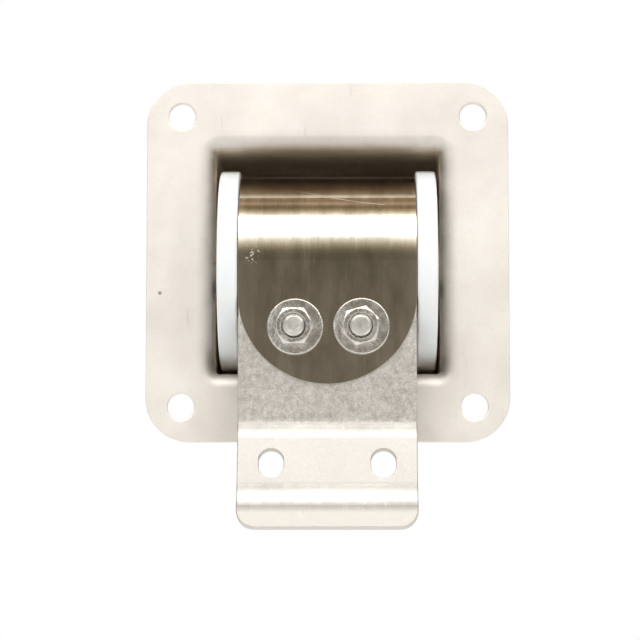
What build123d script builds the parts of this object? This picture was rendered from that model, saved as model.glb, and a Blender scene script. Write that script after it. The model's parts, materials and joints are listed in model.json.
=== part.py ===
"""Recessed constant-force spring reel for a sliding door.

A square stainless plate is drawn back into a box-shaped pocket. A drum turns on a pin across the
pocket. A wide spring-steel strip is wound on the drum between two plastic discs, comes off the
front of the coil and runs straight down to a stepped bracket that is screwed to the door.

Millimetres. +X is to the right, +Y goes into the wall, +Z is up. The origin is on the plate's back
face, at the centre of its four holes.
"""

from build123d import *
from math import cos, radians, sin, sqrt, tan
import os

# Mounting plate and the pocket behind it
SHEET = 1.5
PLATE_SIZE = 103.0
PLATE_CORNER_R = 12.5
PLATE_EDGE_R = 0.3
HOLE_SPACING = 83.0
HOLE_R = 3.75
HOLE_EDGE_R = 0.5
POCKET_SIZE = 64.0
POCKET_CORNER_R = 1.2
POCKET_DEPTH = 45.0
POCKET_FLOOR_R = 1.2
RIM_R = 4.0

# Drum axis and its pin
AXLE_Y = 14.0
AXLE_Z = -1.2
PIN_R = 4.0
PIN_HOLE_R = 4.1
PIN_HEAD_R = 6.5
PIN_HEAD_LENGTH = 2.5
PIN_HEAD_EDGE_R = 0.8
PIN_END_CHAMFER = 0.5
PIN_END_LENGTH = 1.6
GROOVE_R = 3.25
CLIP_THICKNESS = 0.9
CLIP_R = 6.5
CLIP_RIM = 1.9
CLIP_LUG_WIDTH = 2.4
CLIP_LUG_ANGLES = (90, 205, 335)
CLIP_MOUTH = 5.3
CLIP_GAP = 0.05
PIN_WASHER_R = 8.0
PIN_WASHER_THICKNESS = 1.2
THRUST_WASHER_R = 9.0
THRUST_WASHER_THICKNESS = 0.8

# Drum: discs, core and bushes
DISC_R = 29.0
DISC_INNER_X = 25.2
DISC_OUTER_X = 30.9
DISC_EDGE_R = 0.8
CORE_R = 20.0
CORE_WALL = 3.0
CORE_HUB_R = 9.0
CORE_RIBS = 6
CORE_RIB_WIDTH = 2.4
CORE_FIRST_RIB = 30
BUSH_R = 6.0
BUSH_BORE_R = 4.05
BUSH_LENGTH = 14.0
SCREW_COUNT = 3
SCREW_CIRCLE_R = 13.5
SCREW_BOSS_R = 3.0
SCREW_R = 1.5
SCREW_HEAD_R = 2.9
SCREW_HEAD_DEPTH = 1.6
SCREW_RECESS = 0.3
SCREW_LENGTH = 14.0
SCREW_SOCKET_SIZE = 1.6
SCREW_SOCKET_DEPTH = 1.0

# Spring strip and its coil
STRIP_WIDTH = 50.0
STRIP_THICKNESS = 0.4
COIL_R = 27.0
STRIP_START_Z = -4.0
STRIP_END_Z = -35.8
STRIP_LEAD_GAP = 0.3
STRIP_HOLE_R = 3.3

# Fixings that clamp the strip to the bracket
STUD_SPACING = 18.6
STUD_Z = -20.1
STUD_R = 3.0
STUD_CHAMFER = 0.6
STUD_HEAD_R = 4.1
STUD_HEAD_LENGTH = 1.2
STUD_PROUD = 1.4
WASHER_R = 7.85
WASHER_HOLE_R = 3.4
WASHER_THICKNESS = 1.6
WASHER_EDGE_R = 0.4
WASHER_SHIFTS = {"left": (0.3, 0.15), "right": (0.2, 0.3)}
NUT_ACROSS_FLATS = 10.0
NUT_HEIGHT = 5.0
NUT_BORE_R = 3.05
NUT_MOUTH_R = 3.6
NUT_CHAMFER = 0.45
NUT_TURNS = {"left": 0.0, "right": 16.0}

# Door bracket: each run is a drop and its slope away from the wall, in degrees
BRACKET_WIDTH = 49.8
BRACKET_THICKNESS = 2.5
BRACKET_TOP_Z = -14.5
BRACKET_RUNS = ((32.3, 0.0), (3.4, 30.0), (13.6, 15.0), (5.2, 30.0), (6.7, 14.0))
BRACKET_BEND_RADII = (4.5, 2.0, 3.0, 2.0)
BRACKET_TOP_CORNER_R = 3.0
BRACKET_LIP_CORNER_R = 5.0
BRACKET_EDGE_R = 0.4
SLOT_WIDTH = 6.9
SLOT_LENGTH = 8.3
SLOT_SPACING = 31.0
SLOT_Z = -58.0
SLOT_RUN = 2
SLOT_EDGE_R = 0.3

SIDES = {"left": -1, "right": 1}
STRIP_FRONT_Y = AXLE_Y - COIL_R
STRIP_BACK_Y = STRIP_FRONT_Y + STRIP_THICKNESS
POCKET_HALF = POCKET_SIZE / 2
WALL_OUTER_X = POCKET_HALF + SHEET


def drum_plane(x):
    """Sketch plane square to the drum axis, centred on it at x and facing +X."""
    return Plane(origin=(x, AXLE_Y, AXLE_Z), x_dir=(0, 1, 0), z_dir=(1, 0, 0))


def front_plane(x, y, z):
    """Sketch plane parallel to the plate at a point, facing the room."""
    return Plane(origin=(x, y, z), x_dir=(1, 0, 0), z_dir=(0, -1, 0))


def drum_round(radius, x_from, x_to):
    """Cylinder on the drum axis between two x positions."""
    return extrude(drum_plane(x_from) * Circle(radius), amount=x_to - x_from)


def front_round(radius, x, z, y_back, y_front):
    """Cylinder square to the plate, from its back end to its front end."""
    return extrude(front_plane(x, y_back, z) * Circle(radius), amount=y_back - y_front)


def ring(outer_r, inner_r, x_from, x_to):
    """Flat ring on the drum axis."""
    return drum_round(outer_r, x_from, x_to) - drum_round(inner_r, x_from, x_to)


def edges_at_y(shape, y, reach):
    """Edges lying at depth y whose middle is within reach of the centre in X and Z."""
    def inside(edge):
        middle = edge.center()
        return abs(middle.X) < reach and abs(middle.Z) < reach
    return shape.edges().filter_by_position(Axis.Y, y - 0.01, y + 0.01).filter_by(inside)


def front_outline(pan):
    """Edges of the plate's front face along its outer outline."""
    def on_outline(edge):
        middle = edge.center()
        return max(abs(middle.X), abs(middle.Z)) > PLATE_SIZE / 2 - PLATE_CORNER_R
    face_edges = pan.edges().filter_by_position(Axis.Y, -SHEET - 0.01, -SHEET + 0.01)
    return face_edges.filter_by(lambda edge: on_outline(edge) and edge.length > PLATE_CORNER_R)


def mounting_pan():
    """Plate with rolled rim, drawn pocket, four fixing holes and the two pin holes."""
    outer = RectangleRounded(PLATE_SIZE, PLATE_SIZE, PLATE_CORNER_R)
    plate = extrude(Plane.XZ * outer, amount=SHEET)
    box_size = POCKET_SIZE + 2 * SHEET
    box_profile = RectangleRounded(box_size, box_size, POCKET_CORNER_R + SHEET)
    box = extrude(Plane.XZ * box_profile, amount=-(POCKET_DEPTH + SHEET))
    box = fillet(edges_at_y(box, POCKET_DEPTH + SHEET, box_size), POCKET_FLOOR_R + SHEET - 0.1)
    hollow_profile = RectangleRounded(POCKET_SIZE, POCKET_SIZE, POCKET_CORNER_R)
    floor = front_plane(0, POCKET_DEPTH, 0)
    hollow = extrude(floor * hollow_profile, amount=POCKET_DEPTH + 2 * SHEET)
    hollow = fillet(edges_at_y(hollow, POCKET_DEPTH, box_size), POCKET_FLOOR_R - 0.1)
    pan = plate + box - hollow
    pan = fillet(edges_at_y(pan, -SHEET, POCKET_HALF + 0.1), RIM_R)
    pan = fillet(edges_at_y(pan, 0, WALL_OUTER_X + 0.1), RIM_R - SHEET)
    half = HOLE_SPACING / 2
    for x in (-half, half):
        for z in (-half, half):
            pan -= front_round(HOLE_R, x, z, SHEET, -2 * SHEET)
    front_edges = edges_at_y(pan, -SHEET, PLATE_SIZE).filter_by(GeomType.CIRCLE)
    hole_edges = front_edges.filter_by(lambda edge: abs(edge.radius - HOLE_R) < 0.01)
    pan = fillet(hole_edges, HOLE_EDGE_R)
    pan = fillet(front_outline(pan), PLATE_EDGE_R)
    pan -= drum_round(PIN_HOLE_R, -PLATE_SIZE / 2, PLATE_SIZE / 2)
    return pan


def axle_pin():
    """Headed pin across the pocket, grooved at its far end for the clip."""
    head_x = -WALL_OUTER_X - PIN_HEAD_LENGTH
    clip_x = WALL_OUTER_X + PIN_WASHER_THICKNESS
    end_x = clip_x + CLIP_THICKNESS + PIN_END_LENGTH
    head = drum_round(PIN_HEAD_R, head_x, -WALL_OUTER_X)
    head = fillet(head.edges().sort_by(Axis.X)[0], PIN_HEAD_EDGE_R)
    shank = drum_round(PIN_R, -WALL_OUTER_X, end_x)
    shank = chamfer(shank.edges().sort_by(Axis.X)[-1], PIN_END_CHAMFER)
    return head + shank - ring(2 * PIN_R, GROOVE_R, clip_x, clip_x + CLIP_THICKNESS + CLIP_GAP)


def axle_clip():
    """E-shaped snap clip that sits in the pin's groove, open downwards."""
    profile = Circle(CLIP_R) - Circle(CLIP_R - CLIP_RIM)
    lug_length = CLIP_R - CLIP_RIM / 2
    for angle in CLIP_LUG_ANGLES:
        profile += Rot(0, 0, angle) * Pos(lug_length / 2, 0) * Rectangle(lug_length, CLIP_LUG_WIDTH)
    profile -= Circle(GROOVE_R)
    profile -= Pos(0, -CLIP_R) * Rectangle(CLIP_MOUTH, 2 * CLIP_R)
    return extrude(drum_plane(WALL_OUTER_X + PIN_WASHER_THICKNESS) * profile, amount=CLIP_THICKNESS)


def screw_spots():
    """Angles of the screws round the drum, in degrees."""
    return [90 + i * 360 / SCREW_COUNT for i in range(SCREW_COUNT)]


def on_drum(radius, angle, sketch):
    """Sketch moved out to a radius and angle round the drum axis."""
    return Rot(0, 0, angle) * Pos(radius, 0) * sketch


def drum_core():
    """Moulded spool: rim, hub, ribs between them and bosses for the disc screws."""
    profile = Circle(CORE_R) - Circle(CORE_R - CORE_WALL)
    rib_length = CORE_R - CORE_WALL / 2
    rib = Rectangle(rib_length, CORE_RIB_WIDTH)
    for i in range(CORE_RIBS):
        profile += on_drum(rib_length / 2, CORE_FIRST_RIB + i * 360 / CORE_RIBS, rib)
    for angle in screw_spots():
        profile += on_drum(SCREW_CIRCLE_R, angle, Circle(SCREW_BOSS_R))
    profile += Circle(CORE_HUB_R)
    profile -= Circle(BUSH_R)
    for angle in screw_spots():
        profile -= on_drum(SCREW_CIRCLE_R, angle, Circle(SCREW_R))
    return extrude(drum_plane(-DISC_INNER_X) * profile, amount=2 * DISC_INNER_X)


def screw_cone(head_r, tip_r, depth, plane):
    """Countersink cone that narrows along the plane's negative normal."""
    mouth = plane * Circle(head_r)
    tip = plane.offset(-depth) * Circle(tip_r)
    return loft([mouth, tip])


def side_plane(side, x):
    """Sketch plane on the drum axis at side * x, facing outwards on that side."""
    return Plane(origin=(side * x, AXLE_Y, AXLE_Z), x_dir=(0, side, 0), z_dir=(side, 0, 0))


def screw_plane(side, angle, x):
    """Outward-facing plane centred on one disc screw."""
    y = AXLE_Y + SCREW_CIRCLE_R * cos(radians(angle))
    z = AXLE_Z + SCREW_CIRCLE_R * sin(radians(angle))
    return Plane(origin=(side * x, y, z), x_dir=(0, 1, 0), z_dir=(side, 0, 0))


def flange_disc(side):
    """White disc that guides the strip's edge, with countersunk holes on its outer face."""
    thickness = DISC_OUTER_X - DISC_INNER_X
    disc = extrude(side_plane(side, DISC_OUTER_X) * Circle(DISC_R), amount=-thickness)
    disc = fillet(disc.edges().filter_by(GeomType.CIRCLE), DISC_EDGE_R)
    disc -= extrude(side_plane(side, DISC_OUTER_X) * Circle(BUSH_R), amount=-thickness)
    for angle in screw_spots():
        plane = screw_plane(side, angle, DISC_OUTER_X)
        disc -= extrude(plane * Circle(SCREW_R), amount=-thickness)
        disc -= extrude(plane * Circle(SCREW_HEAD_R), amount=-SCREW_RECESS)
        disc -= screw_cone(SCREW_HEAD_R, SCREW_R, SCREW_HEAD_DEPTH, plane.offset(-SCREW_RECESS))
    return disc


def disc_screws(side):
    """The countersunk screws that hold one disc on the core."""
    screws = []
    for angle in screw_spots():
        plane = screw_plane(side, angle, DISC_OUTER_X - SCREW_RECESS)
        head = screw_cone(SCREW_HEAD_R, SCREW_R, SCREW_HEAD_DEPTH, plane)
        neck = plane.offset(-SCREW_HEAD_DEPTH)
        shank = extrude(neck * Circle(SCREW_R), amount=SCREW_HEAD_DEPTH - SCREW_LENGTH)
        socket = extrude(plane * RegularPolygon(SCREW_SOCKET_SIZE, 6), amount=-SCREW_SOCKET_DEPTH)
        screws.append(head + shank - socket)
    return Compound(children=screws)


def bush(side):
    """Plain bearing pressed through the disc into the core."""
    plane = side_plane(side, DISC_OUTER_X)
    sleeve = extrude(plane * Circle(BUSH_R), amount=-BUSH_LENGTH)
    return sleeve - extrude(plane * Circle(BUSH_BORE_R), amount=-BUSH_LENGTH)


def spring_coil():
    """Wound strip: the packed turns, the outer turn over the top and its start down the front."""
    left_x = -STRIP_WIDTH / 2
    packed_r = COIL_R - STRIP_THICKNESS
    turns = ring(packed_r, CORE_R, left_x, -left_x)
    outer_turn = ring(COIL_R, packed_r - 0.01, left_x, -left_x)
    reach = 2 * COIL_R
    below_front = make_face(Polyline((0, 0), (-reach, 0), (-reach, -reach), close=True))
    outer_turn -= extrude(drum_plane(left_x) * below_front, amount=STRIP_WIDTH)
    lead_length = AXLE_Z - STRIP_START_Z - STRIP_LEAD_GAP
    lead_place = Pos(0, STRIP_FRONT_Y + STRIP_THICKNESS / 2, AXLE_Z - lead_length / 2)
    return turns + outer_turn + lead_place * Box(STRIP_WIDTH, STRIP_THICKNESS, lead_length)


def stud_x(side):
    """X position of a stud."""
    return side * STUD_SPACING / 2


def spring_strip():
    """Straight end of the strip with its full-round tip and two holes for the studs."""
    half = STRIP_WIDTH / 2
    tip_centre_z = STRIP_END_Z + half
    straight = STRIP_START_Z - tip_centre_z
    outline = Pos(0, tip_centre_z) * Circle(half)
    outline += Pos(0, tip_centre_z + straight / 2) * Rectangle(STRIP_WIDTH, straight)
    outline -= Pos(0, STRIP_START_Z + half) * Rectangle(2 * STRIP_WIDTH, 2 * half)
    strip = extrude(front_plane(0, STRIP_BACK_Y, 0) * outline, amount=STRIP_THICKNESS)
    for side in SIDES.values():
        strip -= front_round(STRIP_HOLE_R, stud_x(side), STUD_Z, STRIP_BACK_Y + 1, STRIP_FRONT_Y - 1)
    return strip


def stud(side):
    """Threaded stud with a flush head pressed into the back of the bracket."""
    x = stud_x(side)
    back_y = STRIP_BACK_Y + BRACKET_THICKNESS
    front_y = STRIP_FRONT_Y - WASHER_THICKNESS - NUT_HEIGHT - STUD_PROUD
    shank = front_round(STUD_R, x, STUD_Z, back_y, front_y)
    shank = chamfer(shank.edges().sort_by(Axis.Y)[0], STUD_CHAMFER)
    return shank + front_round(STUD_HEAD_R, x, STUD_Z, back_y, back_y - STUD_HEAD_LENGTH)


def washer(name, side):
    """Wide washer under a nut, resting slightly off the stud's centre."""
    shift_x, shift_z = WASHER_SHIFTS[name]
    x = stud_x(side) + shift_x
    z = STUD_Z + shift_z
    front_y = STRIP_FRONT_Y - WASHER_THICKNESS
    body = front_round(WASHER_R, x, z, STRIP_FRONT_Y, front_y)
    body = fillet(body.edges().sort_by(Axis.Y)[0], WASHER_EDGE_R)
    return body - front_round(WASHER_HOLE_R, x, z, STRIP_FRONT_Y, front_y)


def nut(name, side):
    """Hexagon nut with chamfered corners and a countersunk mouth at both ends."""
    x = stud_x(side)
    back_y = STRIP_FRONT_Y - WASHER_THICKNESS
    plane = front_plane(x, back_y, STUD_Z)
    hexagon = RegularPolygon(NUT_ACROSS_FLATS / 2, 6, major_radius=False, rotation=NUT_TURNS[name])
    body = extrude(plane * hexagon, amount=NUT_HEIGHT)
    corner_r = NUT_ACROSS_FLATS / 2 / cos(radians(30))
    barrel = extrude(plane * Circle(corner_r), amount=NUT_HEIGHT)
    barrel = chamfer(barrel.edges().filter_by(GeomType.CIRCLE), NUT_CHAMFER, NUT_CHAMFER * sqrt(3))
    body &= barrel
    body -= extrude(plane * Circle(NUT_BORE_R), amount=NUT_HEIGHT)
    depth = NUT_MOUTH_R - NUT_BORE_R
    body -= screw_cone(NUT_MOUTH_R, NUT_BORE_R, depth, plane.offset(NUT_HEIGHT))
    return body


def bracket_front():
    """Corner points of the bracket's front face from the side, as (y, z)."""
    points = [(STRIP_BACK_Y, BRACKET_TOP_Z)]
    for drop, slope in BRACKET_RUNS:
        y, z = points[-1]
        points.append((y - drop * tan(radians(slope)), z - drop))
    return points


def bracket_back(front):
    """The front's corner points moved back by the sheet's thickness, mitred at the bends."""
    slopes = [radians(slope) for _, slope in BRACKET_RUNS]
    back = []
    for i, (y, z) in enumerate(front):
        above = slopes[max(i - 1, 0)]
        below = slopes[min(i, len(slopes) - 1)]
        direction = (above + below) / 2
        reach = BRACKET_THICKNESS / cos((below - above) / 2)
        back.append((y + reach * cos(direction), z - reach * sin(direction)))
    return back


def bend_radii(front_side):
    """Radius at each bend: the inner one on the hollow side, one thickness more on the other."""
    slopes = [slope for _, slope in BRACKET_RUNS]
    radii = []
    for inner, above, below in zip(BRACKET_BEND_RADII, slopes, slopes[1:]):
        hollow = (below > above) == front_side
        radii.append(inner if hollow else inner + BRACKET_THICKNESS)
    return radii


def slot_plane():
    """Plane on the bracket's sloping door face, at the height of the slots."""
    y_top, z_top = bracket_front()[SLOT_RUN]
    slope = radians(BRACKET_RUNS[SLOT_RUN][1])
    y = y_top - (z_top - SLOT_Z) * tan(slope)
    return Plane(origin=(0, y, SLOT_Z), x_dir=(1, 0, 0), z_dir=(0, -cos(slope), sin(slope)))


def short_edges_near(body, z):
    """Through-thickness edges at the bracket's two sides, near height z."""
    def at_corner(edge):
        middle = edge.center()
        on_side = abs(abs(middle.X) - BRACKET_WIDTH / 2) < 0.01
        short = edge.length < 1.2 * BRACKET_THICKNESS
        return on_side and short and abs(middle.Z - z) < BRACKET_THICKNESS / 2
    return body.edges().filter_by(at_corner)


def side_outline(body):
    """Edges round the bracket's two side faces."""
    def on_side_face(edge):
        on_side = abs(abs(edge.center().X) - BRACKET_WIDTH / 2) < 0.01
        return on_side and edge.bounding_box().size.X < 0.01
    return body.edges().filter_by(on_side_face)


def slot_rims(body):
    """Edges round both slots, on the door face's front and back."""
    plane = slot_plane()

    def on_rim(edge):
        spot = plane.to_local_coords(edge.center())
        in_slot = abs(abs(spot.X) - SLOT_SPACING / 2) < SLOT_LENGTH / 2 and abs(spot.Y) < SLOT_LENGTH / 2
        return in_slot and min(abs(spot.Z), abs(spot.Z + BRACKET_THICKNESS)) < 0.05
    return body.edges().filter_by(on_rim)


def bracket():
    """Stepped galvanised bracket behind the strip's end, with two slots for the door screws."""
    front = bracket_front()
    back = bracket_back(front)
    outline = FilletPolyline(*front, radius=bend_radii(True))
    outline += Line(front[-1], back[-1])
    outline += FilletPolyline(*back, radius=bend_radii(False))
    outline += Line(back[0], front[0])
    body = extrude(Plane.YZ * make_face(outline), amount=BRACKET_WIDTH / 2, both=True)
    body = fillet(short_edges_near(body, front[0][1]), BRACKET_TOP_CORNER_R)
    body = fillet(short_edges_near(body, front[-1][1]), BRACKET_LIP_CORNER_R)
    body = fillet(side_outline(body), BRACKET_EDGE_R)
    slot = Rot(0, 0, 90) * SlotOverall(SLOT_LENGTH, SLOT_WIDTH)
    back_y = STRIP_BACK_Y + BRACKET_THICKNESS
    for side in SIDES.values():
        place = slot_plane() * Pos(side * SLOT_SPACING / 2, 0)
        body -= extrude(place * slot, amount=2 * BRACKET_THICKNESS, both=True)
    body = fillet(slot_rims(body), SLOT_EDGE_R)
    for side in SIDES.values():
        x = stud_x(side)
        body -= front_round(STUD_R, x, STUD_Z, back_y, STRIP_BACK_Y)
        body -= front_round(STUD_HEAD_R, x, STUD_Z, back_y, back_y - STUD_HEAD_LENGTH)
    return body


def build_parts():
    """Every piece of the reel by name."""
    clip_side_x = WALL_OUTER_X + PIN_WASHER_THICKNESS
    parts = {
        "mounting_pan": mounting_pan(),
        "axle_pin": axle_pin(),
        "axle_washer": ring(PIN_WASHER_R, PIN_HOLE_R, WALL_OUTER_X, clip_side_x),
        "axle_clip": axle_clip(),
        "drum_core": drum_core(),
        "spring_coil": spring_coil(),
        "spring_strip": spring_strip(),
        "door_bracket": bracket(),
    }
    for name, side in SIDES.items():
        thrust_from = side * (POCKET_HALF - THRUST_WASHER_THICKNESS)
        thrust_to = side * POCKET_HALF
        parts[f"thrust_washer_{name}"] = ring(THRUST_WASHER_R, PIN_HOLE_R, thrust_from, thrust_to)
        parts[f"flange_disc_{name}"] = flange_disc(side)
        parts[f"disc_screws_{name}"] = disc_screws(side)
        parts[f"bush_{name}"] = bush(side)
        parts[f"stud_{name}"] = stud(side)
        parts[f"washer_{name}"] = washer(name, side)
        parts[f"nut_{name}"] = nut(name, side)
    return parts


os.makedirs("parts", exist_ok=True)
for node, shape in build_parts().items():
    export_step(shape, f"parts/{node}.step")
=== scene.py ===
"""Looks of the recessed spring reel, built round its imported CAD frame.

Metres, in the frame's own axes: +X right, +Y into the wall, +Z up. Material helpers work in millimetres.
"""

import json
from functools import partial, reduce
from math import atan2, cos, pi, radians, sin, sqrt, tan

import bmesh
import bpy
from mathutils import Matrix, Vector


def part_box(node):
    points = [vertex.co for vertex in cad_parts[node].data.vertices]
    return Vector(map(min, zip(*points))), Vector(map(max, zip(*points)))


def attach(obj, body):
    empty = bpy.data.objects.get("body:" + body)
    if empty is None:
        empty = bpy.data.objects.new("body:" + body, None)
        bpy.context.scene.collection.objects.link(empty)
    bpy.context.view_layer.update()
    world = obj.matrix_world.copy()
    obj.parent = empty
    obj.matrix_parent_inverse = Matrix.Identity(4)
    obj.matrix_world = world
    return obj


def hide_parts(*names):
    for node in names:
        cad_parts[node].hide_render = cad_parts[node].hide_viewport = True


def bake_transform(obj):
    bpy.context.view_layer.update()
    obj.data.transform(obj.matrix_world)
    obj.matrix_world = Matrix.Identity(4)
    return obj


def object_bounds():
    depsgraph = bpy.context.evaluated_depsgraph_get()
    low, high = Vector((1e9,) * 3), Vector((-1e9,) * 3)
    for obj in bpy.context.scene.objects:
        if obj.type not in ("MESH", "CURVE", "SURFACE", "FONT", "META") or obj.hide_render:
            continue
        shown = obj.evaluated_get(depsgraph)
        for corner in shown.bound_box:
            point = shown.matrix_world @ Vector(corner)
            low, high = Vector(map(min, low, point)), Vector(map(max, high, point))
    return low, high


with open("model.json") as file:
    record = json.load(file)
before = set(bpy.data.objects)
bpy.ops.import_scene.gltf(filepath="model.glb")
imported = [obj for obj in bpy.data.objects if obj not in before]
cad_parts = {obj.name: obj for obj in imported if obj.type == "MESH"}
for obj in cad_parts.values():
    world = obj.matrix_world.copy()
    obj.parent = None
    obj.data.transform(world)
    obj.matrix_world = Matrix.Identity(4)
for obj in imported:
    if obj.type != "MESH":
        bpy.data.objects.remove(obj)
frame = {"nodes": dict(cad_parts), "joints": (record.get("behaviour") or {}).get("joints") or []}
cad_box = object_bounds()

MM = 0.001

# Camera: where it stands and how it is turned
CAMERA_PLACE = Vector((4.85, -660.9, -81.3)) * MM
CAMERA_TURN_LEFT = radians(0.61)
CAMERA_TILT_UP = radians(5.58)
CAMERA_LENS = 131.6
CAMERA_SENSOR = 36.0

# Spring strip and coil, with the steps along the strip's side, round its tip and round one turn
STRIP_THICKNESS = 0.4 * MM
STRIP_EDGE = 0.06 * MM
STRIP_HOLE_R = 3.3 * MM
STRIP_SIDE_STEPS = 12
STRIP_TIP_STEPS = 96
COIL_TURNS = 16
COIL_STEPS = 120
CORE_R = 20.0 * MM

# Long scratch over the coil, from its left end: fall below the coil's top, slope, bow per mm, reach in mm
SCRATCH_LEFT = -8.5 * MM
SCRATCH_FALL = 5.9 * MM
SCRATCH_SLOPE = 0.286
SCRATCH_BOW = 0.0039
SCRATCH_REACH = 27.0
# Middle of the scuffed patch near the coil's left edge
SCUFF_PLACE = Vector((-21.0, -14.0, 0.5)) * MM
# Brown painted reflection of the pocket's rim on top of the coil: its lower edge in mm above the drum
# axis, and its tint
COIL_REFLECTION_Z = 18.3
RIM_REFLECTION_TINT = (0.70, 0.615, 0.515)
# Warm painted shade on the pocket's inner walls
POCKET_SHADE_TINT = (1.0, 0.93, 0.82)
# Heights in mm of the bracket's bends, where dark lines are drawn across: partly the press's marks,
# partly painted shade in the bends
BEND_LINE_HEIGHTS = (-47.6, -64.3, -69.3)
# How far right of a washer's centre, in mm, its dished side levels out
DISH_END = 2.0

# Floor's reach each way and its gap below the pulled-out bracket, and how high the key light stands
FLOOR_REACH = 4.0
FLOOR_GAP = 0.05
KEY_ELEVATION = radians(51.5)

# Studs and nuts, with the steps round a circle and the rings of points in one thread pitch
ROUND_STEPS = 48
STUD_R = 3.0 * MM
STUD_HEAD_LENGTH = 1.2 * MM
STUD_CHAMFER = 0.6 * MM
STUD_END_RINGS = ((2.2, 0.0), (1.9, 0.06), (0.9, 0.1), (0.3, 0.14))  # radius and dish in mm
THREAD_PITCH = 1.0 * MM
THREAD_DEPTH = 0.5 * MM
THREAD_ROWS = 12
NUT_APOTHEM = 5.0 * MM
NUT_EDGE = 0.14 * MM
NUT_CORNER_R = 0.35 * MM
NUT_FACE_R = 4.75 * MM
NUT_MOUTH_R = 3.6 * MM
NUT_BORE_R = 3.1 * MM
NUT_TURNS = {"left": radians(0), "right": radians(16)}
# Least angle between two faces whose shared edge is softened
SOFTENED_FROM = radians(22)


def centre_of(node):
    """Middle of a CAD node's box."""
    low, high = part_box(node)
    return (low + high) / 2


def joint(name):
    """A joint of the record by name."""
    return next(j for j in frame["joints"] if j["name"] == name)


DRUM_AXIS = Vector(joint("drum_spin")["pos_m"])
# Half the side of the pocket's opening in mm: the thrust washers reach its walls
OPENING_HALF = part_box("thrust_washer_right")[1].x / MM


def add_node(tree, kind, inputs=None, **settings):
    """New shader node; each of its inputs is a constant or another node's output."""
    made = tree.nodes.new(kind)
    for name, value in settings.items():
        setattr(made, name, value)
    for key, value in (inputs or {}).items():
        if isinstance(value, bpy.types.NodeSocket):
            tree.links.new(value, made.inputs[key])
        else:
            made.inputs[key].default_value = value
    return made


# ---------------------------------------------------------------- materials

class Look:
    """A material whose colour, roughness and bump come from nodes that work in millimetres."""

    def __init__(self, name, metallic, **constants):
        self.material = bpy.data.materials.new(name)
        self.material.use_nodes = True
        self.tree = self.material.node_tree
        self.shader = self.tree.nodes["Principled BSDF"]
        self.shader.inputs["Metallic"].default_value = metallic
        for socket, value in constants.items():
            self.shader.inputs[socket.replace("_", " ")].default_value = value
        coordinates = self.tree.nodes.new("ShaderNodeTexCoord").outputs["Object"]
        self.place = self.stretched(coordinates, (1000, 1000, 1000))

    def node(self, kind, inputs=None, **settings):
        """New node in this material."""
        return add_node(self.tree, kind, inputs, **settings)

    def stretched(self, vector, scale=(1, 1, 1), turn=(0, 0, 0), shift=(0, 0, 0)):
        """Coordinates scaled, turned and shifted."""
        inputs = {"Vector": vector, "Scale": scale, "Rotation": turn, "Location": shift}
        return self.node("ShaderNodeMapping", inputs).outputs["Vector"]

    def noise(self, scale, detail=3.0, roughness=0.5, stretch=(1, 1, 1), turn=(0, 0, 0), shift=(0, 0, 0)):
        """Soft noise from 0 to 1, scale in features per millimetre."""
        vector = self.stretched(self.place, stretch, turn, shift)
        inputs = {"Vector": vector, "Scale": scale, "Detail": detail, "Roughness": roughness}
        return self.node("ShaderNodeTexNoise", inputs).outputs["Fac"]

    def cells(self, scale):
        """Distance to the nearest of scattered points, scale in points per millimetre."""
        inputs = {"Vector": self.place, "Scale": scale}
        return self.node("ShaderNodeTexVoronoi", inputs).outputs["Distance"]

    def span(self, value, low, high, to_low=0.0, to_high=1.0):
        """Value rescaled from one range to another and held inside it."""
        keys = ("Value", "From Min", "From Max", "To Min", "To Max")
        inputs = dict(zip(keys, (value, low, high, to_low, to_high)))
        return self.node("ShaderNodeMapRange", inputs).outputs[0]

    def maths(self, operation, *values):
        """Values joined in order by one operation, or a single value put through it."""
        def step(*operands):
            return self.node("ShaderNodeMath", dict(enumerate(operands)), operation=operation).outputs[0]
        return reduce(step, values) if len(values) > 1 else step(*values)

    def blend(self, share, first, second, blend_type="MIX"):
        """Mix of two colours, each a constant or another node's output."""
        inputs = {0: share}
        for key, colour in ((6, first), (7, second)):
            inputs[key] = colour if isinstance(colour, bpy.types.NodeSocket) else (*colour, 1)
        return self.node("ShaderNodeMix", inputs, data_type="RGBA", blend_type=blend_type).outputs[2]

    def offsets(self, point):
        """Signed distances in millimetres from a point along X, Y and Z."""
        shift = tuple(-v / MM for v in point)
        return self.node("ShaderNodeSeparateXYZ", {0: self.stretched(self.place, shift=shift)}).outputs

    def along(self, axis, point=(0, 0, 0)):
        """Signed distance in millimetres from a point along one axis."""
        return self.offsets(point)[axis]

    def away_from(self, point, axis):
        """Distance in millimetres from the line through a point along an axis."""
        kept = [out for name, out in self.offsets(point).items() if name != axis]
        squares = [self.maths("MULTIPLY", out, out) for out in kept]
        return self.maths("SQRT", self.maths("ADD", *squares))

    def scratches(self, per_mm, length, angle, share, seed):
        """Thin straight marks: 1 on a mark, 0 off it. Angle is in the plate's plane."""
        turn = (0, angle, 0)
        fine = self.noise(per_mm, 1.0, 0.4, (1, 1, 1 / length), turn, (seed, seed, seed))
        gate = self.noise(per_mm / length * 3, 2.0, 0.6, (1, 1, 1), turn, (3 * seed, seed, 0))
        marks = self.span(fine, share, share + 0.03)
        return self.maths("MULTIPLY", marks, self.span(gate, 0.5, 0.6))

    def crossed_scratches(self, first, second):
        """Two families of scratches together, each given by its (per_mm, length, angle, share, seed)."""
        return self.maths("MAXIMUM", self.scratches(*first), self.scratches(*second))

    def finish(self, colour, roughness, *heights):
        """Join colour, roughness and (height, depth in mm) bumps to the shader."""
        links = self.tree.links
        links.new(colour, self.shader.inputs["Base Color"])
        links.new(roughness, self.shader.inputs["Roughness"])
        normal = None
        for height, depth in heights:
            inputs = {"Height": height, "Strength": 1.0, "Distance": abs(depth) * MM}
            if normal:
                inputs["Normal"] = normal
            normal = self.node("ShaderNodeBump", inputs, invert=depth < 0).outputs["Normal"]
        if normal:
            links.new(normal, self.shader.inputs["Normal"])
        return self.material


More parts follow.
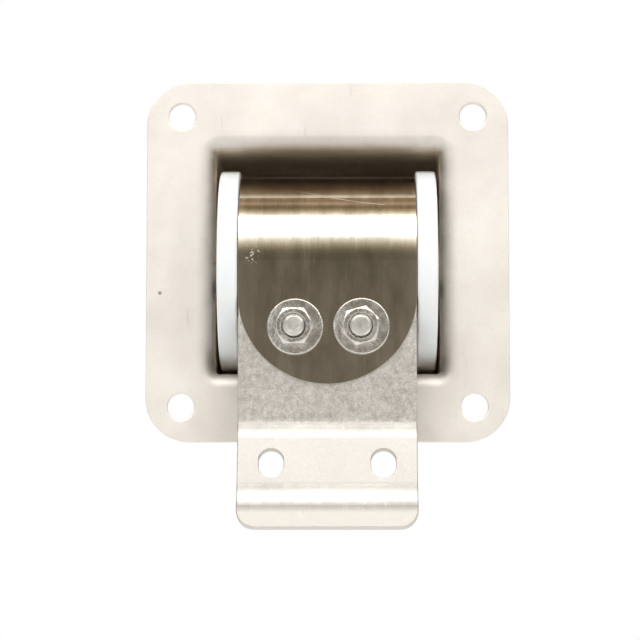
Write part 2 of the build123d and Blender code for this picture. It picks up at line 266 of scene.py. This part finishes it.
def opening_painted_shade(look):
    """Painted shade round the opening, where the rim turns into the pocket: strongest at its sides, none
    below it.
    """
    across = look.maths("ABSOLUTE", look.along("X"))
    up = look.along("Z")
    near_side = look.maths("POWER", look.span(across, OPENING_HALF + 5.5, OPENING_HALF), 1.5)
    level = look.span(look.maths("ABSOLUTE", up), OPENING_HALF + 3, OPENING_HALF - 3)
    near_top = look.span(up, OPENING_HALF + 6, OPENING_HALF + 1)
    between = look.span(across, OPENING_HALF + 3, OPENING_HALF - 3)
    above = look.span(up, OPENING_HALF - 3, OPENING_HALF)
    beside = look.maths("MULTIPLY", near_side, level, 0.95)
    over = look.maths("MULTIPLY", near_top, between, above, 0.28)
    patchy = look.span(look.noise(0.10, 4.0, 0.6), 0.3, 0.6, 0.7, 1.0)
    on_front = look.span(look.along("Y"), 2.5, 0.5)
    return look.maths("MULTIPLY", look.maths("MAXIMUM", beside, over), patchy, on_front)


def pocket_inside(look):
    """1 on the pocket's inner walls, 0 elsewhere."""
    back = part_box("mounting_pan")[1].y / MM
    shares = [look.span(look.along("Y"), 0.0, 1.5), look.span(look.along("Y"), back - 0.4, back - 0.9)]
    for axis in ("X", "Z"):
        off = look.maths("ABSOLUTE", look.along(axis))
        shares.append(look.span(off, OPENING_HALF + 0.9, OPENING_HALF + 0.5))
    return look.maths("MULTIPLY", *shares)


def satin_stainless():
    """Plate: pale matte stainless, clouded, with a faint grain, fine scratches, a few specks, and painted
    shade round the opening and in the pocket.
    """
    look = Look("satin_stainless", 1.0)
    clouds = look.noise(0.04, 4.0, 0.6)
    colour = look.blend(look.span(clouds, 0.35, 0.65), (0.84, 0.805, 0.765), (0.92, 0.89, 0.85))
    mottle = look.noise(0.9, 5.0, 0.7)
    colour = look.blend(look.span(mottle, 0.55, 0.8, 0, 0.3), colour, (0.68, 0.63, 0.58))
    marks = look.crossed_scratches((2.2, 30, 0.5, 0.69, 3), (1.8, 40, 2.2, 0.70, 8))
    colour = look.blend(look.maths("MULTIPLY", marks, 0.4), colour, (0.92, 0.90, 0.88))
    spots = look.span(look.cells(0.055), 0.035, 0.022)
    colour = look.blend(look.maths("MULTIPLY", spots, 0.7), colour, (0.16, 0.13, 0.11))
    # Painted shade round the opening: dark warm grey blended over the plate's colour.
    colour = look.blend(opening_painted_shade(look), colour, (0.30, 0.255, 0.215))
    # Warm painted shade multiplied over the pocket's inner walls.
    colour = look.blend(pocket_inside(look), colour, POCKET_SHADE_TINT, "MULTIPLY")
    grain = look.noise(3.0, 3.0, 0.6, (0.06, 1, 1))
    roughness = look.span(look.maths("ADD", clouds, mottle), 0.6, 1.4, 0.54, 0.68)
    roughness = look.maths("SUBTRACT", roughness, look.maths("MULTIPLY", marks, 0.12))
    return look.finish(colour, roughness, (grain, 0.004), (mottle, 0.006), (marks, -0.004))


def long_scratch(look):
    """One slanting scratch across the top of the coil, bowed a little, thinner at its ends."""
    start = Vector((SCRATCH_LEFT, 0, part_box("spring_coil")[1].z - SCRATCH_FALL))
    across = look.along("X", start)
    bow = look.maths("MULTIPLY", across, across, SCRATCH_BOW)
    line = look.maths("SUBTRACT", bow, look.maths("MULTIPLY", across, SCRATCH_SLOPE))
    off = look.maths("ABSOLUTE", look.maths("SUBTRACT", look.along("Z", start), line))
    mark = look.span(off, 0.03, 0.10, 1, 0)
    left_end = look.span(across, -1, 4)
    right_end = look.span(across, SCRATCH_REACH, SCRATCH_REACH - 4)
    on_front = look.span(look.along("Y", DRUM_AXIS), 1, -1)
    return look.maths("MULTIPLY", mark, left_end, right_end, on_front)


def scuffs(look):
    """Small bright nicks in one patch near the coil's left edge."""
    patch = look.span(look.away_from(SCUFF_PLACE, "Y"), 3.4, 1.6)
    nicks = look.span(look.noise(1.1, 2.0, 0.6, (1, 1, 1.6), shift=(1, 6, 2)), 0.55, 0.62)
    return look.maths("MULTIPLY", patch, nicks)


def spring_steel():
    """Strip: rolled steel with fine lines, smudges, side edges lighter in tone, faint scratches and a
    painted reflection of the pocket's rim on its top.
    """
    look = Look("spring_steel", 1.0)
    lines = look.noise(6.0, 4.0, 0.7, (1, 0.012, 0.012))
    bands = look.noise(0.35, 3.0, 0.5, (1, 0.02, 0.02))
    tone = look.span(look.maths("ADD", lines, bands), 0.7, 1.3)
    colour = look.blend(tone, (0.50, 0.46, 0.39), (0.62, 0.585, 0.515))
    smudge = look.noise(0.17, 4.0, 0.6, (1, 0.4, 0.4), shift=(4, 0, 2))
    colour = look.blend(look.span(smudge, 0.50, 0.64, 0, 0.5), colour, (0.36, 0.325, 0.27))
    colour = look.blend(look.span(smudge, 0.48, 0.36, 0, 0.5), colour, (0.76, 0.72, 0.65))
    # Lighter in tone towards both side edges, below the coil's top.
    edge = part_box("spring_strip")[1].x / MM
    edge_lightening = look.span(look.maths("ABSOLUTE", look.along("X")), edge - 6, edge, 0, 0.6)
    edge_lightening = look.maths("MULTIPLY", edge_lightening, look.span(look.along("Z", DRUM_AXIS), 20, 12))
    colour = look.blend(edge_lightening, colour, (0.84, 0.80, 0.72))
    # Brown painted reflection of the pocket's rim, multiplied over the top of the coil.
    rim_reflection = look.span(look.along("Z", DRUM_AXIS), COIL_REFLECTION_Z, COIL_REFLECTION_Z + 0.8)
    colour = look.blend(rim_reflection, colour, RIM_REFLECTION_TINT, "MULTIPLY")
    fine = look.crossed_scratches((1.6, 45, 1.3, 0.70, 5), (2.5, 20, 0.2, 0.71, 2))
    marks = look.maths("MAXIMUM", look.maths("MULTIPLY", fine, 0.25), long_scratch(look), scuffs(look))
    colour = look.blend(look.maths("MULTIPLY", marks, 0.5), colour, (0.90, 0.87, 0.80))
    haze = look.span(look.noise(0.06, 4.0, 0.6), 0.4, 0.7, 0, 0.03)
    dulled = look.maths("MULTIPLY", marks, 0.30)
    roughness = look.maths("ADD", look.span(lines, 0.35, 0.7, 0.07, 0.14), haze, dulled)
    return look.finish(colour, roughness, (lines, 0.0012), (bands, 0.004), (marks, -0.002))


def galvanised_steel():
    """Bracket: zinc-coated steel, speckled and pitted, smoother in tone below its first bend, with dark
    lines across its bends that are partly press marks and partly painted shade.
    """
    look = Look("galvanised_steel", 1.0)
    speckle = look.noise(2.6, 3.0, 0.7)
    frost = look.noise(0.7, 4.0, 0.7, shift=(7, 3, 1))
    mixed = look.maths("ADD", look.maths("MULTIPLY", frost, 0.45), look.maths("MULTIPLY", speckle, 0.55))
    colour = look.blend(look.span(mixed, 0.38, 0.62), (0.55, 0.53, 0.50), (0.84, 0.815, 0.785))
    pits = look.span(look.noise(3.2, 4.0, 0.75, shift=(5, 0, 9)), 0.58, 0.68)
    colour = look.blend(look.maths("MULTIPLY", pits, 0.45), colour, (0.30, 0.28, 0.26))
    up = look.along("Z")
    pressed = look.span(up, BEND_LINE_HEIGHTS[0] + 1, BEND_LINE_HEIGHTS[0] - 1, 0, 0.7)
    colour = look.blend(pressed, colour, (0.63, 0.605, 0.575))
    lip = look.span(up, BEND_LINE_HEIGHTS[-1] - 1.4, BEND_LINE_HEIGHTS[-1] - 2.4, 0, 0.7)
    colour = look.blend(lip, colour, (0.74, 0.715, 0.675))
    # Dark lines across the bends: partly the press's marks, partly painted shade in the creases.
    for height in BEND_LINE_HEIGHTS:
        rise = look.maths("SUBTRACT", up, height)
        line = look.maths("MINIMUM", look.span(rise, 1.2, 0.5), look.span(rise, -1.9, -0.4))
        wander = look.noise(0.25, 4.0, 0.7, (1, 0.1, 0.1), shift=(height, 0, 0))
        line = look.maths("MULTIPLY", line, look.span(wander, 0.3, 0.6, 0.75, 1.0))
        colour = look.blend(look.maths("MULTIPLY", line, 0.8), colour, (0.36, 0.345, 0.33))
    marks = look.crossed_scratches((1.5, 25, 0.1, 0.69, 6), (2.0, 15, 1.0, 0.70, 9))
    colour = look.blend(look.maths("MULTIPLY", marks, 0.4), colour, (0.85, 0.84, 0.82))
    clouds = look.span(look.noise(0.08, 3.0, 0.5), 0.4, 0.7, 0, 0.06)
    roughness = look.maths("ADD", look.span(frost, 0.3, 0.7, 0.40, 0.52), clouds)
    heights = ((speckle, 0.008), (frost, 0.02), (pits, -0.01), (marks, -0.006))
    return look.finish(colour, roughness, *heights)


def bright_zinc(name, centre=None, axis="Y", roughness_range=(0.18, 0.32), dent=0.22, dished=0.0):
    """Plated fixings: mirror-grey with soft dents and, round a centre, the rings left by turning.

    dent is in millimetres. dished is how fast the surface left of the centre curves back, per millimetre.
    """
    look = Look(name, 1.0)
    clouds = look.noise(0.4, 4.0, 0.6)
    colour = look.blend(look.span(clouds, 0.35, 0.65), (0.66, 0.65, 0.62), (0.80, 0.79, 0.76))
    specks = look.span(look.noise(3.0, 3.0, 0.7), 0.66, 0.74)
    colour = look.blend(look.maths("MULTIPLY", specks, 0.3), colour, (0.50, 0.48, 0.44))
    dents = look.noise(0.45, 3.0, 0.5)
    roughness = look.span(clouds, 0.3, 0.7, *roughness_range)
    heights = [(dents, dent), (specks, -0.003)]
    if dished:
        aside = look.maths("SUBTRACT", look.maths("MINIMUM", look.along("X", centre), DISH_END), DISH_END)
        heights.append((look.maths("MULTIPLY", aside, aside), -dished))
    if centre:
        rings = look.maths("SINE", look.maths("MULTIPLY", look.away_from(centre, axis), 16.0))
        heights.append((rings, 0.004))
    return look.finish(colour, roughness, *heights)


def turned_steel():
    """Pin: turned steel, ringed round the drum axis."""
    look = Look("pin_steel", 1.0)
    rings = look.maths("SINE", look.maths("MULTIPLY", look.away_from(DRUM_AXIS, "X"), 30.0))
    stain = look.noise(0.5, 4.0, 0.6)
    colour = look.blend(look.span(stain, 0.4, 0.7), (0.60, 0.59, 0.57), (0.44, 0.41, 0.37))
    return look.finish(colour, look.span(stain, 0.3, 0.7, 0.26, 0.42), (rings, 0.001), (stain, 0.004))


def dark_steel():
    """Clip: phosphated spring steel, near black, with rubbed high spots."""
    look = Look("dark_steel", 1.0)
    rub = look.noise(1.2, 4.0, 0.7)
    colour = look.blend(look.span(rub, 0.55, 0.75), (0.09, 0.085, 0.08), (0.32, 0.30, 0.28))
    return look.finish(colour, look.span(rub, 0.3, 0.7, 0.55, 0.40), (rub, 0.008))


def moulded_plastic(name, low, high, roughness, **constants):
    """Moulded plastic: flow marks between two colours, an eggshell surface and a few scratches."""
    look = Look(name, 0.0, **constants)
    flow = look.noise(0.12)
    colour = look.blend(look.span(flow, 0.35, 0.65), low, high)
    scratched = look.maths("MULTIPLY", look.scratches(2.0, 20, 0.8, 0.68, 4), 0.5)
    colour = look.blend(look.maths("MULTIPLY", scratched, 0.25), colour, tuple(0.6 * c for c in low))
    eggshell = look.noise(2.5, 3.0, 0.6)
    uneven = look.span(look.maths("ADD", flow, eggshell), 0.7, 1.3, roughness - 0.05, roughness + 0.07)
    return look.finish(colour, uneven, (eggshell, 0.004), (flow, 0.02), (scratched, -0.004))


def sintered_bronze():
    """Bushes: porous bronze."""
    look = Look("bronze", 1.0)
    pores = look.span(look.noise(4.0, 3.0, 0.7), 0.5, 0.65)
    colour = look.blend(pores, (0.62, 0.42, 0.20), (0.24, 0.15, 0.07))
    return look.finish(colour, look.span(pores, 0, 1, 0.35, 0.6), (pores, -0.02))


def paint(node, material):
    """Give a CAD node one material."""
    for slot in frame["nodes"][node].material_slots:
        slot.material = material


# ---------------------------------------------------------------- meshes

def piece(name, mesh, material, sharp=30):
    """Object from a mesh, smooth apart from edges sharper than the given degrees."""
    mesh.materials.clear()
    mesh.materials.append(material)
    for polygon in mesh.polygons:
        polygon.use_smooth = True
    mesh.set_sharp_from_angle(angle=radians(sharp))
    made = bpy.data.objects.new(name, mesh)
    bpy.context.collection.objects.link(made)
    return made


def skin(name, rings, closed_ends=False, loop=False):
    """Mesh through rings of points; loop joins the last ring to the first."""
    shape = bmesh.new()
    rows = [[shape.verts.new(point) for point in ring] for ring in rings]
    pairs = list(zip(rows, rows[1:])) + ([(rows[-1], rows[0])] if loop else [])
    for above, below in pairs:
        count = len(above)
        for i in range(count):
            j = (i + 1) % count
            shape.faces.new((above[i], above[j], below[j], below[i]))
    if closed_ends:
        shape.faces.new(reversed(rows[0]))
        shape.faces.new(rows[-1])
    bmesh.ops.recalc_face_normals(shape, faces=shape.faces)
    mesh = bpy.data.meshes.new(name)
    shape.to_mesh(mesh)
    shape.free()
    return mesh


def coil_turns(material):
    """The wound strip as one long spiral ribbon with rounded edges."""
    low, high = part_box("spring_coil")
    outer_r = DRUM_AXIS.y - low.y
    step_in = (outer_r - STRIP_THICKNESS - CORE_R) / COIL_TURNS
    rings = []
    for i in range(COIL_TURNS * COIL_STEPS + 1):
        turns = i / COIL_STEPS
        angle = pi - 2 * pi * turns
        top = outer_r - step_in * turns
        foot = top - STRIP_THICKNESS
        section = (
            (low.x + STRIP_EDGE, top), (high.x - STRIP_EDGE, top),
            (high.x, top - STRIP_EDGE), (high.x, foot + STRIP_EDGE),
            (high.x - STRIP_EDGE, foot), (low.x + STRIP_EDGE, foot),
            (low.x, foot + STRIP_EDGE), (low.x, top - STRIP_EDGE),
        )
        rings.append([
            (x, DRUM_AXIS.y + radius * cos(angle), DRUM_AXIS.z + radius * sin(angle))
            for x, radius in section
        ])
    return piece("coil_turns", skin("coil_turns", rings, closed_ends=True), material)


def circle_angles(count):
    """Evenly spaced angles round a circle."""
    return [2 * pi * i / count for i in range(count)]


def flat_sheet(name, outline, holes, back_y, thickness, edge):
    """Upright flat sheet from an (x, z) outline and round holes, its edges rounded except the top one."""
    curve = bpy.data.curves.new(name, "CURVE")
    curve.dimensions = "2D"
    curve.fill_mode = "BOTH"
    curve.extrude = thickness / 2 - edge
    curve.bevel_depth = edge
    curve.bevel_resolution = 2
    curve.offset = -edge
    loops = [outline]
    for x, z, radius in holes:
        loops.append([(x + radius * cos(a), z + radius * sin(a)) for a in circle_angles(ROUND_STEPS)])
    for loop in loops:
        spline = curve.splines.new("POLY")
        spline.points.add(len(loop) - 1)
        for point, (x, z) in zip(spline.points, loop):
            point.co = (x, z, 0, 1)
        spline.use_cyclic_u = True
    holder = bpy.data.objects.new(name, curve)
    bpy.context.collection.objects.link(holder)
    bpy.context.view_layer.update()
    mesh = bpy.data.meshes.new_from_object(holder)
    bpy.data.objects.remove(holder)
    mesh.transform(Matrix.Translation((0, back_y - thickness / 2, 0)) @ Matrix.Rotation(pi / 2, 4, "X"))
    top = max(z for x, z in outline)
    rounded_from = top - 1.5 * edge
    for vertex in mesh.vertices:
        if vertex.co.z > rounded_from:
            vertex.co.z = top
    return mesh


def strip_end(material):
    """The strip's straight end: off the coil's front, down to the full-round tip with its stud holes."""
    low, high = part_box("spring_strip")
    half = (high.x - low.x) / 2
    tip_z = low.z + half
    steps = range(STRIP_SIDE_STEPS)
    side_heights = [DRUM_AXIS.z + (tip_z - DRUM_AXIS.z) * i / STRIP_SIDE_STEPS for i in steps]
    tip_angles = [pi * i / STRIP_TIP_STEPS for i in range(STRIP_TIP_STEPS + 1)]
    outline = [(half, z) for z in side_heights]
    outline += [(half * cos(a), tip_z - half * sin(a)) for a in tip_angles]
    outline += [(-half, z) for z in reversed(side_heights)]
    holes = [(centre_of(stud).x, centre_of(stud).z, STRIP_HOLE_R) for stud in ("stud_left", "stud_right")]
    mesh = flat_sheet("strip_end", outline, holes, high.y, STRIP_THICKNESS, STRIP_EDGE)
    made = piece("strip_end", mesh, material, sharp=35)
    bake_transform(made)
    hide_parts("spring_strip")


def front_ring(centre, y, radius_at, angles):
    """Ring of points round a line square to the plate."""
    return [(centre.x + radius_at(a) * cos(a), y, centre.z + radius_at(a) * sin(a)) for a in angles]


def groove_depth(phase):
    """Share of the thread's full depth at a phase of its pitch: 0 on the crest, 1 in the root."""
    return min(1, max(0, 1.15 - abs(2 * phase - 1) * 1.3))


def stud_mesh(name, centre, back_y, front_y, head_r):
    """Stud with a flush head, a helical thread and a chamfered, slightly dished end."""
    angles = circle_angles(ROUND_STEPS)
    neck_y = back_y - STUD_HEAD_LENGTH
    rings = [front_ring(centre, back_y, lambda a: 0.2 * head_r, angles)]
    rings.append(front_ring(centre, back_y, lambda a: head_r, angles))
    rings.append(front_ring(centre, neck_y, lambda a: head_r, angles))
    rows = int((neck_y - front_y) / THREAD_PITCH * THREAD_ROWS)
    for i in range(rows + 1):
        y = neck_y + (front_y - neck_y) * i / rows
        chamfer_r = STUD_R - STUD_CHAMFER + (y - front_y)

        def thread_r(a):
            phase = ((neck_y - y) / THREAD_PITCH + a / (2 * pi)) % 1
            return min(STUD_R - THREAD_DEPTH * groove_depth(phase), chamfer_r)
        rings.append(front_ring(centre, y, thread_r, angles))
    for radius, dish in STUD_END_RINGS:
        rings.append(front_ring(centre, front_y + dish * MM, lambda a: radius * MM, angles))
    return skin(name, rings, closed_ends=True)


def studs(material):
    """Both threaded studs."""
    for side in ("left", "right"):
        low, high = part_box(f"stud_{side}")
        head_r = (high.x - low.x) / 2
        mesh = stud_mesh(f"threaded_stud_{side}", centre_of(f"stud_{side}"), high.y, low.y, head_r)
        made = piece(f"threaded_stud_{side}", mesh, material, sharp=50)
        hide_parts(f"stud_{side}")
        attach(made, "door_end")


def nut_outline(angle):
    """Distance to the nut's hexagon, whose corners are rounded, with its first corner at angle 0."""
    off_corner = abs((angle + pi / 6) % (pi / 3) - pi / 6)
    corner = (NUT_APOTHEM - NUT_CORNER_R) / cos(pi / 6)
    arc_end = atan2(NUT_CORNER_R * sin(pi / 6), corner + NUT_CORNER_R * cos(pi / 6))
    if off_corner < arc_end:
        return corner * cos(off_corner) + sqrt(NUT_CORNER_R ** 2 - (corner * sin(off_corner)) ** 2)
    return NUT_APOTHEM / cos(pi / 6 - off_corner)


def nut_angles():
    """Angles round the nut's hexagon, closer together at its corners."""
    near = (-30, -22, -14, -7, -3.5, -1.8, -0.9, 0, 0.9, 1.8, 3.5, 7, 14, 22)
    return [radians(60 * corner + offset) for corner in range(6) for offset in near]


def nut_mesh(name, centre, back_y, front_y, turn):
    """Hexagon nut: chamfered corners both ends, countersunk mouths and a bore round the stud."""
    angles = nut_angles()

    def ring(y_of, radius_of):
        points = []
        for a in angles:
            radius = radius_of(a)
            spot = a + turn
            points.append((centre.x + radius * cos(spot), y_of(a), centre.z + radius * sin(spot)))
        return points

    def drop(a):
        return (nut_outline(a) - NUT_FACE_R) * tan(pi / 6)

    mouth = NUT_MOUTH_R - NUT_BORE_R
    rings = [
        ring(lambda a: back_y, lambda a: NUT_MOUTH_R),
        ring(lambda a: back_y, lambda a: NUT_FACE_R),
        ring(lambda a: back_y - drop(a), nut_outline),
        ring(lambda a: front_y + drop(a), nut_outline),
        ring(lambda a: front_y, lambda a: NUT_FACE_R),
        ring(lambda a: front_y, lambda a: NUT_MOUTH_R),
        ring(lambda a: front_y + mouth, lambda a: NUT_BORE_R),
        ring(lambda a: back_y - mouth, lambda a: NUT_BORE_R),
    ]
    return skin(name, rings, loop=True)


def soften(made, width):
    """Round the sharp edges of a piece a little."""
    bevel = made.modifiers.new("soft_edges", "BEVEL")
    bevel.width = width
    bevel.segments = 3
    bevel.limit_method = "ANGLE"
    bevel.angle_limit = SOFTENED_FROM
    bevel.harden_normals = False


def nuts(material):
    """Both nuts, with edges softened the way forging leaves them."""
    for side in ("left", "right"):
        low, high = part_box(f"nut_{side}")
        mesh = nut_mesh(f"hex_nut_{side}", centre_of(f"nut_{side}"), high.y, low.y, NUT_TURNS[side])
        made = piece(f"hex_nut_{side}", mesh, material, sharp=25)
        soften(made, NUT_EDGE)
        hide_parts(f"nut_{side}")
        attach(made, "door_end")


# ---------------------------------------------------------------- stage

def floor_paper():
    """Matte pale paper, with a breath of unevenness."""
    look = Look("floor_paper", 0.0)
    cloud = look.noise(0.004, 2.0)
    tint = look.blend(cloud, (0.9, 0.9, 0.9), (0.873, 0.873, 0.873))
    return look.finish(tint, look.span(cloud, 0, 1, 0.8, 0.9))


def floor():
    """Pale floor a little below the bracket when the strip is pulled right out."""
    travel = joint("strip_pull")["range_m"][1]
    z = cad_box[0].z - travel - FLOOR_GAP
    corners = [(x * FLOOR_REACH, y * FLOOR_REACH, z) for x, y in ((-1, -1), (1, -1), (1, 1), (-1, 1))]
    mesh = bpy.data.meshes.new("floor")
    mesh.from_pydata(corners, [], [(0, 1, 2, 3)])
    mesh.materials.append(floor_paper())
    made = bpy.data.objects.new("floor", mesh)
    bpy.context.collection.objects.link(made)


# Radiance of the studio walls by elevation in degrees: 0 in front of the plate, 90 overhead, -90 below
WALLS = (
    (-180, (0.80, 0.79, 0.77)), (-110, (0.62, 0.58, 0.52)), (-80, (0.58, 0.50, 0.41)),
    (-45, (0.62, 0.53, 0.42)), (-20, (0.46, 0.40, 0.32)), (-8, (0.29, 0.255, 0.205)),
    (4, (0.265, 0.235, 0.19)), (8, (0.178, 0.155, 0.12)), (14, (0.185, 0.16, 0.12)),
    (20, (0.26, 0.22, 0.165)), (25, (0.52, 0.45, 0.34)), (29, (0.86, 0.78, 0.64)),
    (32, (1.25, 1.19, 1.05)), (36, (1.60, 1.56, 1.46)), (63, (1.60, 1.55, 1.45)),
    (67, (1.42, 1.34, 1.12)), (70, (1.05, 0.92, 0.70)), (73, (0.66, 0.53, 0.36)),
    (76, (0.38, 0.29, 0.19)), (79.5, (0.23, 0.165, 0.10)), (82.5, (0.38, 0.275, 0.18)),
    (86, (0.72, 0.54, 0.38)), (88.5, (0.50, 0.36, 0.24)), (90.5, (0.26, 0.175, 0.105)),
    (92.5, (0.50, 0.36, 0.24)), (98, (0.12, 0.095, 0.065)), (101, (0.16, 0.13, 0.10)),
    (106, (0.95, 0.92, 0.86)), (112, (1.90, 1.88, 1.82)), (150, (1.20, 1.19, 1.16)),
)
# Side walls: how far a direction points to the side (0 to 1), their share over WALLS, their radiance
SIDE_WALLS = ((0.22, 0.0, 0.95), (0.42, 1.0, 0.95), (0.65, 1.0, 0.80), (0.85, 1.0, 0.36))


def set_stops(ramp, stops):
    """Give a colour ramp its (place, colour) stops, in rising order."""
    while len(ramp.elements) < len(stops):
        ramp.elements.new(1.0)
    places, colours = zip(*stops)
    for element, place in zip(ramp.elements, places):
        element.position = place
    for element, colour in zip(ramp.elements, colours):
        element.color = colour


def studio():
    """Studio walls: bright tent above the camera, dim room behind it, white as a backdrop."""
    world = bpy.data.worlds.new("studio")
    bpy.context.scene.world = world
    world.use_nodes = True
    world.node_tree.nodes.clear()
    node = partial(add_node, world.node_tree)

    parts = node("ShaderNodeSeparateXYZ", {0: node("ShaderNodeTexCoord").outputs["Generated"]})
    forward = node("ShaderNodeMath", {0: parts.outputs["Y"], 1: -1.0}, operation="MULTIPLY")
    angle = node("ShaderNodeMath", {0: parts.outputs["Z"], 1: forward.outputs[0]}, operation="ARCTAN2")
    turn = node("ShaderNodeMapRange", {"Value": angle.outputs[0], "From Min": -pi, "From Max": pi})
    around = node("ShaderNodeValToRGB", {0: turn.outputs[0]})
    wall_stops = [((elevation + 180) / 360, (*colour, 1)) for elevation, colour in WALLS]
    set_stops(around.color_ramp, wall_stops)

    aside = node("ShaderNodeMath", {0: parts.outputs["X"]}, operation="ABSOLUTE")
    side = node("ShaderNodeValToRGB", {0: aside.outputs[0]})
    side_stops = [(place, (tone, 0.98 * tone, 0.95 * tone, share)) for place, share, tone in SIDE_WALLS]
    set_stops(side.color_ramp, side_stops)

    mixed = {0: side.outputs["Alpha"], 6: around.outputs[0], 7: side.outputs[0]}
    walls = node("ShaderNodeMix", mixed, data_type="RGBA")
    seen = node("ShaderNodeLightPath").outputs["Is Camera Ray"]
    backdrop = node("ShaderNodeMix", {0: seen, 6: walls.outputs[2], 7: (1, 1, 1, 1)}, data_type="RGBA")
    background = node("ShaderNodeBackground", {"Color": backdrop.outputs[2]})
    node("ShaderNodeOutputWorld", {"Surface": background.outputs[0]})


def softbox(name, direction, distance, width, height, radiance):
    """Rectangular soft light that faces the origin from a direction."""
    lamp = bpy.data.lights.new(name, "AREA")
    lamp.shape = "RECTANGLE"
    lamp.size = width
    lamp.size_y = height
    lamp.energy = radiance * pi * width * height
    made = bpy.data.objects.new(name, lamp)
    made.location = Vector(direction).normalized() * distance
    made.rotation_euler = (-made.location).to_track_quat("-Z", "Y").to_euler()
    made.visible_camera = False
    bpy.context.collection.objects.link(made)


def camera():
    """Long lens a little below the plate's centre, looking slightly up."""
    data = bpy.data.cameras.new("camera")
    data.lens = CAMERA_LENS
    data.sensor_width = CAMERA_SENSOR
    data.clip_start = 0.01
    data.clip_end = 50
    made = bpy.data.objects.new("camera", data)
    made.location = CAMERA_PLACE
    made.rotation_euler = (pi / 2 + CAMERA_TILT_UP, 0, CAMERA_TURN_LEFT)
    bpy.context.collection.objects.link(made)
    bpy.context.scene.camera = made


# ---------------------------------------------------------------- scene

camera()
studio()
key_direction = (0, -cos(KEY_ELEVATION), sin(KEY_ELEVATION))
softbox("key", key_direction, distance=0.9, width=2.4, height=0.46, radiance=2.25)
softbox("rear", (0.5, 0.8, 0.5), distance=1.2, width=1.0, height=1.0, radiance=0.8)
floor()
bpy.context.scene.view_settings.view_transform = "Standard"

steel = spring_steel()
zinc = bright_zinc("bright_zinc")
nut_zinc = bright_zinc("nut_zinc", dent=0.38)
stud_zinc = bright_zinc("stud_zinc", roughness_range=(0.36, 0.46))
acetal_tones = ((0.88, 0.91, 0.94), (0.92, 0.94, 0.96))
white = moulded_plastic("white_acetal", *acetal_tones, 0.32, Subsurface_Weight=0.08)
nylon = moulded_plastic("nylon", (0.78, 0.75, 0.66), (0.84, 0.81, 0.74), 0.45)
black = moulded_plastic("black_plastic", (0.03, 0.03, 0.03), (0.05, 0.05, 0.05), 0.5)
bronze = sintered_bronze()

paint("mounting_pan", satin_stainless())
paint("door_bracket", galvanised_steel())
paint("axle_pin", turned_steel())
paint("axle_clip", dark_steel())
paint("axle_washer", bright_zinc("zinc_axle_washer", DRUM_AXIS, "X"))
paint("drum_core", black)
for side in ("left", "right"):
    paint(f"flange_disc_{side}", white)
    paint(f"thrust_washer_{side}", nylon)
    paint(f"bush_{side}", bronze)
    paint(f"disc_screws_{side}", zinc)
    washer_zinc = bright_zinc(f"zinc_washer_{side}", centre_of(f"washer_{side}"), "Y", dished=0.007)
    paint(f"washer_{side}", washer_zinc)

coil = coil_turns(steel)
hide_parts("spring_coil")
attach(coil, "drum")
strip_end(steel)
studs(stud_zinc)
nuts(nut_zinc)
